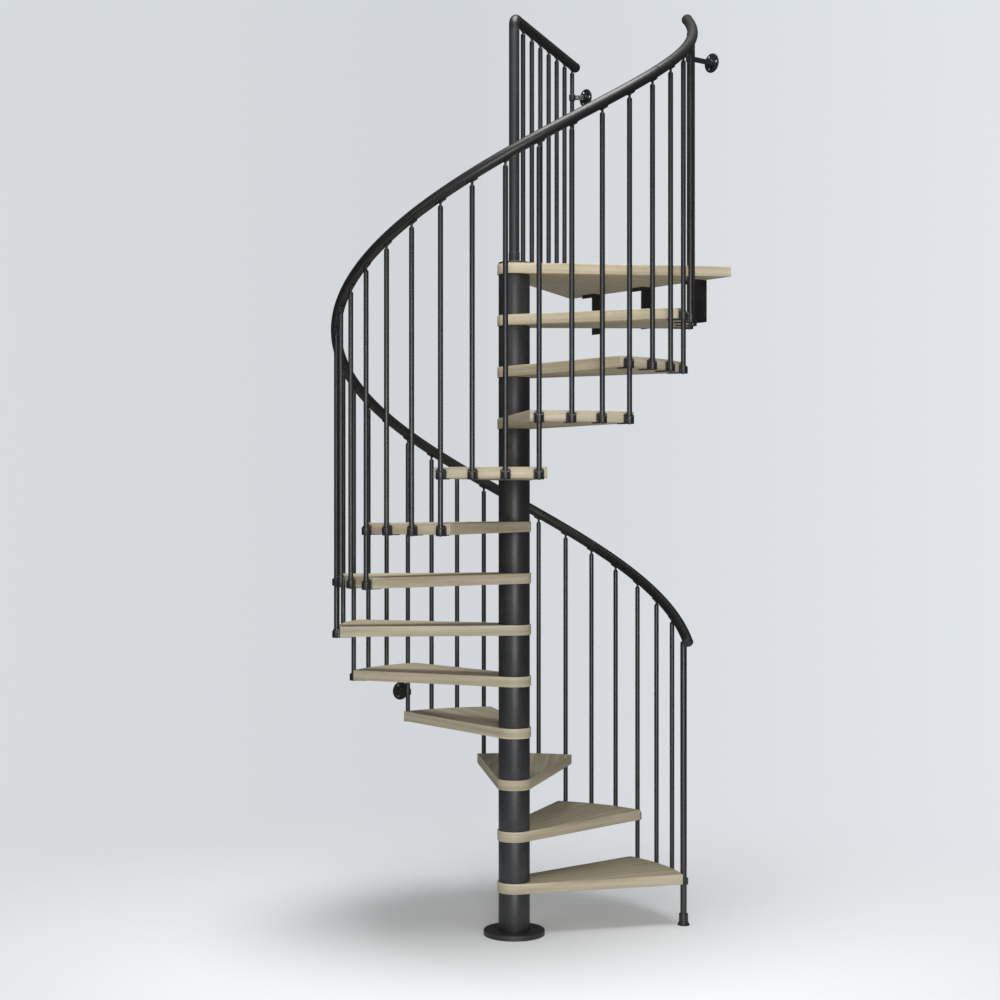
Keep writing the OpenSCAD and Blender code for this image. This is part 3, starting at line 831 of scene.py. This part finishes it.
ring_screws = []
for flight, before in FLIGHTS.items():
    under = tread_top(before + 1) - TREAD_T
    rings = []
    for nth in range(PER_TREAD + 1):
        pattern = closed_ring if nth else open_ring
        skip = 1 if before + nth == 0 else 0
        run = (FLIGHT_TREADS - skip, post_turn((before + skip)*PER_TREAD + nth), STEP_TURN, RING_R,
               under + skip*RISE, RISE)
        rings.append(copied(pattern.copy(), nylon, *run))
        ring_screws.append(copied(ring_screw.copy(), satin_steel, *run))
    if before == 0:
        at_ring = (turn_z(START_TURN), move(RING_R, 0, under))
        rings.append(placed(start_ring, *at_ring))
        ring_screws.append(placed(start_screw, *at_ring))
    piece("nylon_rings_" + flight, rings, nylon, "fitting_plastic", "tread_brackets_" + flight)
piece("ring_set_screws", ring_screws, satin_steel, "baluster_steel")

# %% [markdown]
# ## Saddles
# A saddle is a short swivelling stem with a plate that cradles the rail from below and is held
# by two screws uphill of the stem. The plate's section is a band of a circle about the rail,
# drawn once and pushed along the rail. The pattern is tilted to the rail's slope before it is
# copied. On the level guard it is used untilted.

# %% Saddles
SADDLE_W = 0.018
SADDLE_BACK = 0.006       # from the stem down the rail
SADDLE_AHEAD = 0.027      # from the stem up the rail
CRADLE_R = RAIL_R + SEAT


def saddle_pattern(slope):
    """The saddle about a point on the rail's centre line, for a rail that climbs along +Y."""
    wide = math.degrees(SADDLE_W/2/CRADLE_R)
    band = arc((0, 0), CRADLE_R + SADDLE_T, -90 - wide, -90 + wide, 8)
    band += arc((0, 0), CRADLE_R, -90 + wide, -90 - wide, 8)
    foot = -(CRADLE_R + SADDLE_T)*math.tan(slope)
    # The slab's heights run down the rail once it is laid along it
    cradle = placed(slab([band], -foot - SADDLE_AHEAD, -foot + SADDLE_BACK, 0.0007, 2), turn_x(90))
    tilt = Matrix.Rotation(slope, 4, "X")
    drop = crown_drop(slope)
    knuckle = STEM_R + 0.0005
    top = -(CRADLE_R + SADDLE_T/2)/math.cos(slope)
    stem = turned([(0, -drop), (STEM_R, -drop), (STEM_R, -drop + 0.0040),
                   (STEM_R - 0.0008, -drop + 0.0044), (STEM_R - 0.0008, -drop + 0.0050),
                   (knuckle, -drop + 0.0056), (knuckle, top), (0, top)], 20)
    # The stem's top follows the rail's slope inside the cradle
    for vertex in stem.vertices:
        if vertex.co.z > top - 0.0001:
            vertex.co.z += vertex.co.y*math.tan(slope)
    saddle = combined(placed(cradle, tilt), ("UNION", stem))
    heads = [placed(screw_head(0.0034, 0.0016), tilt, move(0, foot + ahead, -CRADLE_R - SADDLE_T),
                    turn_x(180)) for ahead in (0.011, 0.0215)]
    return saddle, heads


rail_saddle, rail_heads = saddle_pattern(SLOPE)
saddle_screws = []
for flight, before in FLIGHTS.items():
    first = before*PER_TREAD + 1 if before else 0
    count = (before + FLIGHT_TREADS)*PER_TREAD - first + 1
    run = (count, post_turn(first), POST_STEP, RING_R, rail_z(post_turn(first)), POST_RISE)
    piece("nylon_saddles_" + flight, [copied(rail_saddle.copy(), nylon, *run)], nylon,
          "fitting_plastic", "rail_saddles_" + flight)
    saddle_screws += [copied(head.copy(), satin_steel, *run) for head in rail_heads]
piece("rail_saddle_screws", saddle_screws, satin_steel, "baluster_steel")

# %% [markdown]
# ## Handrail
# The handrail is a round PVC tube on the helix, in five lengths. At each joint it has a thin
# ring with a groove on each side. A second tree sweeps it: it takes a straight line, bends it
# round the column by the rule of the stair, and carries a circle along it. The rings are the
# same sweep, a few millimetres long and slightly thicker.

# %% Handrail
sweeper, sizes_in = new_tree("tube_on_the_helix", {
    "Start Turn": "Float", "End Turn": "Float", "Ring Radius": "Float", "Start Height": "Float",
    "End Height": "Float", "Tube Radius": "Float", "Steps": "Int", "Sides": "Int"})
line = add(sweeper, "GeometryNodeCurvePrimitiveLine", {"Start": (0, 0, 0), "End": (1, 0, 0)})
line = add(sweeper, "GeometryNodeResampleCurve", {"Curve": line.outputs[0],
           "Count": sizes_in["Steps"]})
share = add(sweeper, "GeometryNodeSplineParameter").outputs["Factor"]
turn_at = add(sweeper, "ShaderNodeMapRange", {"Value": share, "To Min": sizes_in["Start Turn"],
              "To Max": sizes_in["End Turn"]})
height_at = add(sweeper, "ShaderNodeMapRange", {"Value": share, "To Min": sizes_in["Start Height"],
                "To Max": sizes_in["End Height"]})
arm = add(sweeper, "ShaderNodeCombineXYZ", {"X": sizes_in["Ring Radius"],
          "Z": height_at.outputs[0]})
swung = add(sweeper, "ShaderNodeVectorRotate", {"Vector": arm.outputs[0],
            "Angle": turn_at.outputs[0]}, rotation_type="Z_AXIS")
bent = add(sweeper, "GeometryNodeSetPosition", {"Geometry": line.outputs[0],
           "Position": swung.outputs[0]})
circle = add(sweeper, "GeometryNodeCurvePrimitiveCircle", {"Resolution": sizes_in["Sides"],
             "Radius": sizes_in["Tube Radius"]})
swept = add(sweeper, "GeometryNodeCurveToMesh", {"Curve": bent.outputs[0],
            "Profile Curve": circle.outputs[0], "Fill Caps": True})
real = add(sweeper, "GeometryNodeRealizeInstances", {"Geometry": swept.outputs[0]})
dressed = add(sweeper, "GeometryNodeSetMaterial", {"Geometry": real.outputs[0],
              "Material": sizes_in["Material"]})
add(sweeper, "NodeGroupOutput", {"Result": dressed.outputs[0]})

RAIL_FROM = START_TURN - 5.3
RAIL_TO = START_TURN + TREADS*STEP_TURN + 3
JOINTS = [START_TURN + 67.3 + 79.4*j for j in range(4)]
MM_TURN = math.degrees(0.001*math.cos(SLOPE)/RING_R)    # turn for a millimetre of rail
HALF_JOINT = 2.0*MM_TURN
GROOVE = 1.9*MM_TURN
JOINT_R = 0.02325
NECK_R = 0.0214


def helix_tube(start, end, radius, steps):
    """A closed tube along the rail's line between two directions."""
    return run_tree(sweeper, bpy.data.meshes.new("empty"), rail_pvc, {
        "Start Turn": math.radians(start), "End Turn": math.radians(end), "Ring Radius": RING_R,
        "Start Height": rail_z(start), "End Height": rail_z(end), "Tube Radius": radius,
        "Steps": steps, "Sides": 40})


stops = [RAIL_FROM, *JOINTS, RAIL_TO]
for length in range(5):
    start = stops[length] + (HALF_JOINT + GROOVE if length else 0)
    end = stops[length + 1] - (HALF_JOINT + GROOVE if length < 4 else 0)
    piece(f"rail_length_{length + 1}", [helix_tube(start, end, RAIL_R, 72)], rail_pvc,
          "rail_plastic", f"handrail_{length + 1}")
rings = [helix_tube(j - HALF_JOINT, j + HALF_JOINT, JOINT_R, 3) for j in JOINTS]
necks = [helix_tube(j + side*HALF_JOINT, j + side*(HALF_JOINT + GROOVE), NECK_R, 2)
         for j in JOINTS for side in (-1, 1)]
piece("rail_joint_rings", rings + necks, rail_pvc, "rail_plastic", "handrail_joints")


def end_cap(ease=0.0012):
    """A moulded cap from its flat back at height 0."""
    rim = RAIL_R + 0.001
    crown = (rim*rim + 0.007*0.007)/2/0.007
    lean = math.degrees(math.asin((rim - ease)/crown))
    profile = [(0, 0), (rim - 0.0005, 0), (rim, 0.0005), (rim, 0.0040)]
    profile += [(rim - 0.3*ease, 0.0040 + 0.7*ease)]
    profile += arc((0, 0.011 - crown), crown, 90 - lean, 90, 8)[:-1]
    return turned(profile + [(0, 0.011)], 48)


def on_rail(turn):
    return (turn_z(turn), move(RING_R, 0, rail_z(turn)), Matrix.Rotation(SLOPE, 4, "X"))


piece("rail_caps", [placed(end_cap(), *on_rail(RAIL_FROM), turn_x(90)),
                    placed(end_cap(), *on_rail(RAIL_TO), turn_x(-90))], rail_pvc,
      "rail_plastic", "handrail_end_caps")

# %% [markdown]
# ## Cap plate and landing guard
# On the landing the column ends in a flat plate with an ear. The guard's post stands on it, in
# line with the column, and turns through an elbow into a straight, level rail with seven
# balusters. The elbow is a short curve with a round bevel, which is the quickest way to bend
# a tube of constant thickness.

# %% Cap plate and landing guard
CAP_T = 0.009
GUARD_SWING = 32.7
GUARD_TURN = LANDING_TURN + GUARD_SWING
GUARD_Z = TOP_Z + 1.080
GUARD_POST_R = 0.023
GUARD_BEND = 0.030
GUARD_FIRST = 0.122
GUARD_COUNT = 7
GUARD_LAST = LANDING_EDGE/math.cos(math.radians(GUARD_SWING)) - 0.0666
GUARD_STEP = (GUARD_LAST - GUARD_FIRST)/(GUARD_COUNT - 1)
WALL_R = 0.794
GUARD_END = WALL_R/math.cos(math.radians(GUARD_SWING)) - 0.0095 - 0.011
EAR_R = 0.018
CAP_R = 0.069
to_guard = turn_z(GUARD_TURN)

ear_lean = math.degrees(math.asin(EAR_R/CAP_R))
cap_outline = arc((0, 0), CAP_R, ear_lean, 360 - ear_lean, 72)
cap_outline += arc((GUARD_FIRST, 0), EAR_R, -90, 90, 20)
cap_plate = slab([cap_outline, pole_hole()], 0, CAP_T, 0.0024, 4)
piece("cap_plate", [placed(cap_plate, to_guard, move(0, 0, TOP_Z))], powder_coat, "column_steel",
      "column_cap")

post_low = TOP_Z + CAP_T
post_high = GUARD_Z - GUARD_BEND - 0.013
post_profile = [(0.0190, post_low + 0.0004), (0.0241, post_low)]
post_profile += arc((0.0235, post_low + 0.0440), 0.0010, 0, 90, 3)
post_profile += [(GUARD_POST_R, post_low + 0.0452), (GUARD_POST_R, post_high - 0.0012),
                 (GUARD_POST_R - 0.0010, post_high), (0.0193, post_high)]
piece("guard_post", [turned(post_profile, 64, closed=True)], powder_coat, "column_steel",
      "landing_post")

bend = bpy.data.curves.new("bend", "CURVE")
bend.dimensions = "3D"
bend.bevel_depth = GUARD_POST_R
bend.bevel_resolution = 10
bend.use_fill_caps = True
path = [(0, post_high + 0.0008)] + arc((GUARD_BEND, GUARD_Z - GUARD_BEND), GUARD_BEND, 180, 90, 20)
spline = bend.splines.new("POLY")
spline.points.add(len(path) - 1)
for point, (x, z) in zip(spline.points, path):
    point.co = (x, 0, z, 1)
elbow = welded(plain(on_stage(bend)))
lip = turned(arc((GUARD_POST_R - 0.0006, post_high + 0.0018), 0.0010, -90, 90, 4)
             + [(0.015, post_high + 0.0028), (0.015, post_high + 0.0008)], 48, closed=True)
piece("guard_elbow", [placed(elbow, to_guard), lip], rail_pvc, "rail_plastic", "landing_elbow")

guard_tube = rod(RAIL_R, GUARD_BEND - 0.001, GUARD_END, 0.0004, 40)
lay_along = (to_guard, move(0, 0, GUARD_Z), turn_y(90))
piece("guard_rail", [placed(guard_tube, *lay_along)], rail_pvc, "rail_plastic", "landing_rail")
piece("guard_rail_cap", [placed(end_cap(), *lay_along, move(0, 0, GUARD_END))], rail_pvc,
      "rail_plastic", "landing_rail_cap")

# %% [markdown]
# ## Guard balusters
# The guard's balusters stand on the landing in small flanged cups. The first one stands on the
# cap plate's ear, so it is shorter by the plate's thickness. A straight row is the copier with
# a step of radius and no turn.

# %% Guard balusters
crown = GUARD_Z - crown_drop(0)
cup_profile = [(0, 0), (0.0176, 0), (0.0180, 0.0004), (0.0180, 0.0028), (0.0172, 0.0038),
               (0.0148, 0.0042), (0.0137, 0.0052), (0.0135, 0.0066), (0.0135, 0.0108),
               (0.0125, 0.0120), (BALUSTER_BORE, 0.0120), (BALUSTER_BORE, 0.0040), (0, 0.0040)]
cup = turned(cup_profile, 40)
rods, cups = [], []
for first_nth, count, stand in ((0, 1, TOP_Z + CAP_T), (1, GUARD_COUNT - 1, TOP_Z)):
    run = (count, GUARD_TURN, 0, GUARD_FIRST + first_nth*GUARD_STEP)
    low = stand + 0.0042
    rods.append(copied(domed(BALUSTER_R, 0, crown - low), satin_steel, *run, low, 0, GUARD_STEP))
    cups.append(copied(cup.copy(), nylon, *run, stand, 0, GUARD_STEP))
piece("guard_balusters", rods, satin_steel, "baluster_steel", "landing_balusters")
piece("guard_cups", cups, nylon, "fitting_plastic", "landing_baluster_feet")

level_saddle, level_heads = saddle_pattern(0)
row = (GUARD_COUNT, GUARD_TURN, 0, GUARD_FIRST, GUARD_Z, 0, GUARD_STEP)
piece("guard_saddles", [copied(placed(level_saddle, turn_z(-90)), nylon, *row)], nylon,
      "fitting_plastic", "landing_rail_saddles")
piece("guard_saddle_screws", [copied(placed(head, turn_z(-90)), satin_steel, *row)
                              for head in level_heads], satin_steel, "baluster_steel")

# %% [markdown]
# ## Wall anchors
# Three anchors tie the stair to the walls: a clamp round a baluster, a flat arm, and a round
# plate with three screws. They are welded from rod and plate, so the parts are joined into one
# solid and then bored.

# %% Wall anchors
ANCHOR_PLATE_T = 0.005
ANCHOR_R = 0.043
BOSS_H = 0.012
CLAMP_BORE = 0.0107
SCREW_CIRCLE_R = 0.029
SCREW_HOLE_R = 0.00325
UPPER_ABOVE_LANDING = 0.922


def wall_anchor(reach, side, *at):
    """An anchor and its screw heads: clamp at the origin, plate facing along +X at reach, side."""
    boss_x = reach - ANCHOR_PLATE_T - BOSS_H
    arm_turn = math.degrees(math.atan2(side, boss_x))
    arm_l = math.hypot(boss_x, side)
    clamp = rod(0.015, -0.014, 0.014, 0.0012, 40)
    arm = slab([[(0, -0.0045), (arm_l, -0.0045), (arm_l, 0.0045), (0, 0.0045)]], -0.011, 0.011,
               0.0012)
    boss = placed(rod(0.015, 0, BOSS_H + 0.001, 0.0012, 40), move(boss_x, side, 0), turn_y(90))
    screws = [arc((0, 0), SCREW_CIRCLE_R, 180 + 120*n, 180 + 120*n, 1)[0] for n in range(3)]
    holes = [[(x, y) for x, y in arc(spot, SCREW_HOLE_R, 360, 0, 16)[:-1]] for spot in screws]
    disc = slab([arc((0, 0), ANCHOR_R, 0, 360, 64)[:-1], *holes], 0, ANCHOR_PLATE_T, 0.0012)
    # The plate's own X runs along the stair's Y, so its first hole lies across the arm
    stand = (move(reach - ANCHOR_PLATE_T, side, 0), STAND_UP)
    bore = rod(CLAMP_BORE, -0.02, 0.02, 0, 32)
    solid = combined(clamp, ("UNION", placed(arm, turn_z(arm_turn))), ("UNION", boss),
                     ("UNION", placed(disc, *stand)), ("DIFFERENCE", bore))
    heads = [placed(screw_head(0.0056, 0.0030), *stand, move(x, y, 0), turn_x(180))
             for x, y in screws]
    pivot = placed(screw_head(0.0042, 0.0022), turn_z(arm_turn), move(0.024, -0.0045, 0),
                   turn_x(90))
    return placed(solid, *at), [placed(head, *at) for head in [*heads, pivot]]


last = TREADS*PER_TREAD
lead = LANDING_TURN - post_turn(last)
upper_z = TOP_Z + UPPER_ABOVE_LANDING
ANCHORS = {
    "lower": wall_anchor(0.064, 0, turn_z(post_turn(12)),
                         move(RING_R, 0, tread_top(4) + 0.088), turn_z(128 - post_turn(12))),
    "upper": wall_anchor(WALL_R - RING_R*math.cos(math.radians(lead)), 0,
                         turn_z(post_turn(last)), move(RING_R, 0, upper_z), turn_z(lead)),
    "guard": wall_anchor(WALL_R - GUARD_LAST*math.cos(math.radians(GUARD_SWING)), -0.033,
                         to_guard, move(GUARD_LAST, 0, upper_z), turn_z(-GUARD_SWING)),
}
anchor_heads = []
for which, (solid, heads) in ANCHORS.items():
    piece("anchor_" + which, [solid], satin_steel, "baluster_steel", "wall_anchor_" + which)
    anchor_heads += heads
piece("anchor_screws", anchor_heads, zinc, "baluster_steel")

# %% [markdown]
# ## Wall brackets
# Three folded steel brackets carry the landing's outer edge. A folded plate has a small inner
# radius and a larger outer one at each bend, so the outline's corners are rounded before it is
# pushed out to the bracket's width.

# %% Wall brackets
PLATE = 0.005
LEG = 0.062
LIP = 0.018
BRACKET_H = 0.188
BRACKET_W = 0.080
BRACKET_SPREAD = 0.350
outline = [(WALL_R, 0), (WALL_R, -BRACKET_H), (LANDING_EDGE, -BRACKET_H), (LANDING_EDGE, -PLATE),
           (LANDING_EDGE - LEG + PLATE, -PLATE), (LANDING_EDGE - LEG + PLATE, -LIP),
           (LANDING_EDGE - LEG, -LIP), (LANDING_EDGE - LEG, 0)]
eased_outline = rounded([(WALL_R - 0.01, 0), *outline, (WALL_R - 0.01, 0)], 0.0018)[1:-1]
folded = slab([eased_outline[::-1]], -BRACKET_W/2, BRACKET_W/2, 0.0008, 2)
brackets, bracket_heads = [], []
for side in (-1, 0, 1):
    at = (turn_z(LANDING_TURN), move(0, side*BRACKET_SPREAD, TOP_Z - TREAD_T))
    brackets.append(placed(folded, *at, turn_x(90)))
    for height in (-0.070, -0.140):
        bracket_heads.append(placed(screw_head(0.0065, 0.0040), *at,
                                    move(LANDING_EDGE, 0, height), turn_y(-90)))
    for across in (-0.022, 0.022):
        bracket_heads.append(placed(screw_head(0.0050, 0.0026), *at,
                                    move(LANDING_EDGE - 0.028, across, -PLATE), turn_x(180)))
piece("folded_wall_brackets", brackets, satin_steel, "baluster_steel", "landing_wall_brackets")
piece("wall_bracket_screws", bracket_heads, satin_steel, "baluster_steel")

# %% [markdown]
# ## The parts that stay
# Only the pole inside the column stays as the frame has it, because the tubes hide it. It
# still gets the right finish.

# %% The parts that stay
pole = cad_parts["central_pole"]
for slot in pole.material_slots:
    slot.material = satin_steel
hidden = [n for n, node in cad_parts.items() if node.hide_render]
print(len(pieces), "pieces stand for", len(hidden), "of", len(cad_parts), "frame nodes")
